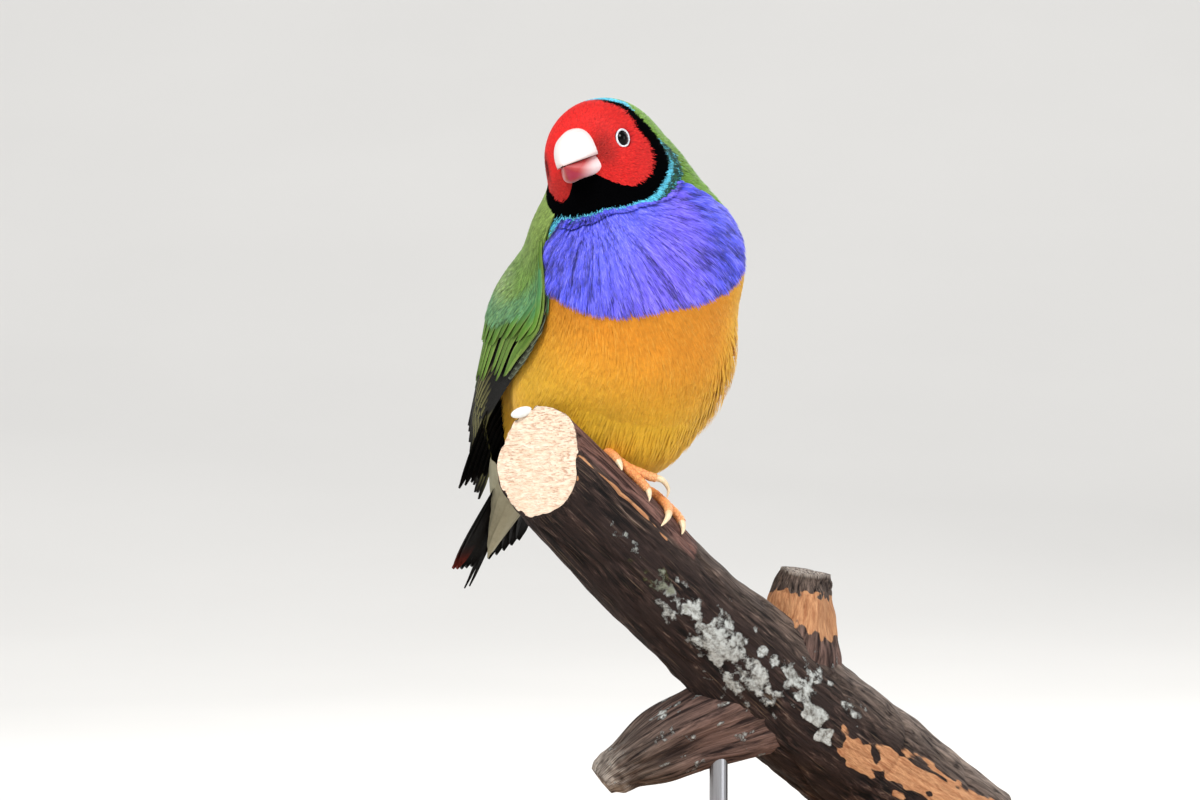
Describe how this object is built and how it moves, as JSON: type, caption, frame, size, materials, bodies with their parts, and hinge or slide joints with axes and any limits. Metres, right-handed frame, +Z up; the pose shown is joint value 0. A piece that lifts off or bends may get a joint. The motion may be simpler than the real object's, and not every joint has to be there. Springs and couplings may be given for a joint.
{
  "type": "gouldian finch",
  "caption": "Life-size small grass finch with a heavy conical bill, folded wings and pointed tail, gripping a cut branch that stands on a flat base with short rods.",
  "frame": {"origin": "centre of the underside of the stand's base", "axes": "+X to the right of the side shown in the picture, +Y away from that side, +Z up"},
  "size_m": [0.13, 0.09, 0.163],
  "materials": {
    "plumage_scarlet": "soft matt feather",
    "plumage_black": "soft matt feather",
    "plumage_amber": "soft matt feather",
    "plumage_green": "smooth feather vanes with a faint sheen",
    "bill_white": "satin horn",
    "bill_red": "satin horn",
    "eye_black": "wet gloss",
    "toe_skin": "fine scales, satin",
    "bark": "rough cracked bark, sawn and broken ends",
    "base_wood": "oiled, satin",
    "rod_steel": "brushed"
  },
  "bodies": {
    "root": {"head": "plumage_scarlet", "neck": "plumage_black", "torso": "plumage_amber", "wing_left": "plumage_green", "wing_right": "plumage_green", "tail": "plumage_black", "bill_upper": "bill_white", "bill_lower": "bill_red", "eye_left": "eye_black", "eye_right": "eye_black", "leg_left": "toe_skin", "leg_right": "toe_skin", "foot_left": "toe_skin", "foot_right": "toe_skin", "perch": "bark", "stand_base": "base_wood", "stand_rod_1": "rod_steel", "stand_rod_2": "rod_steel"}
  },
  "joints": []
}
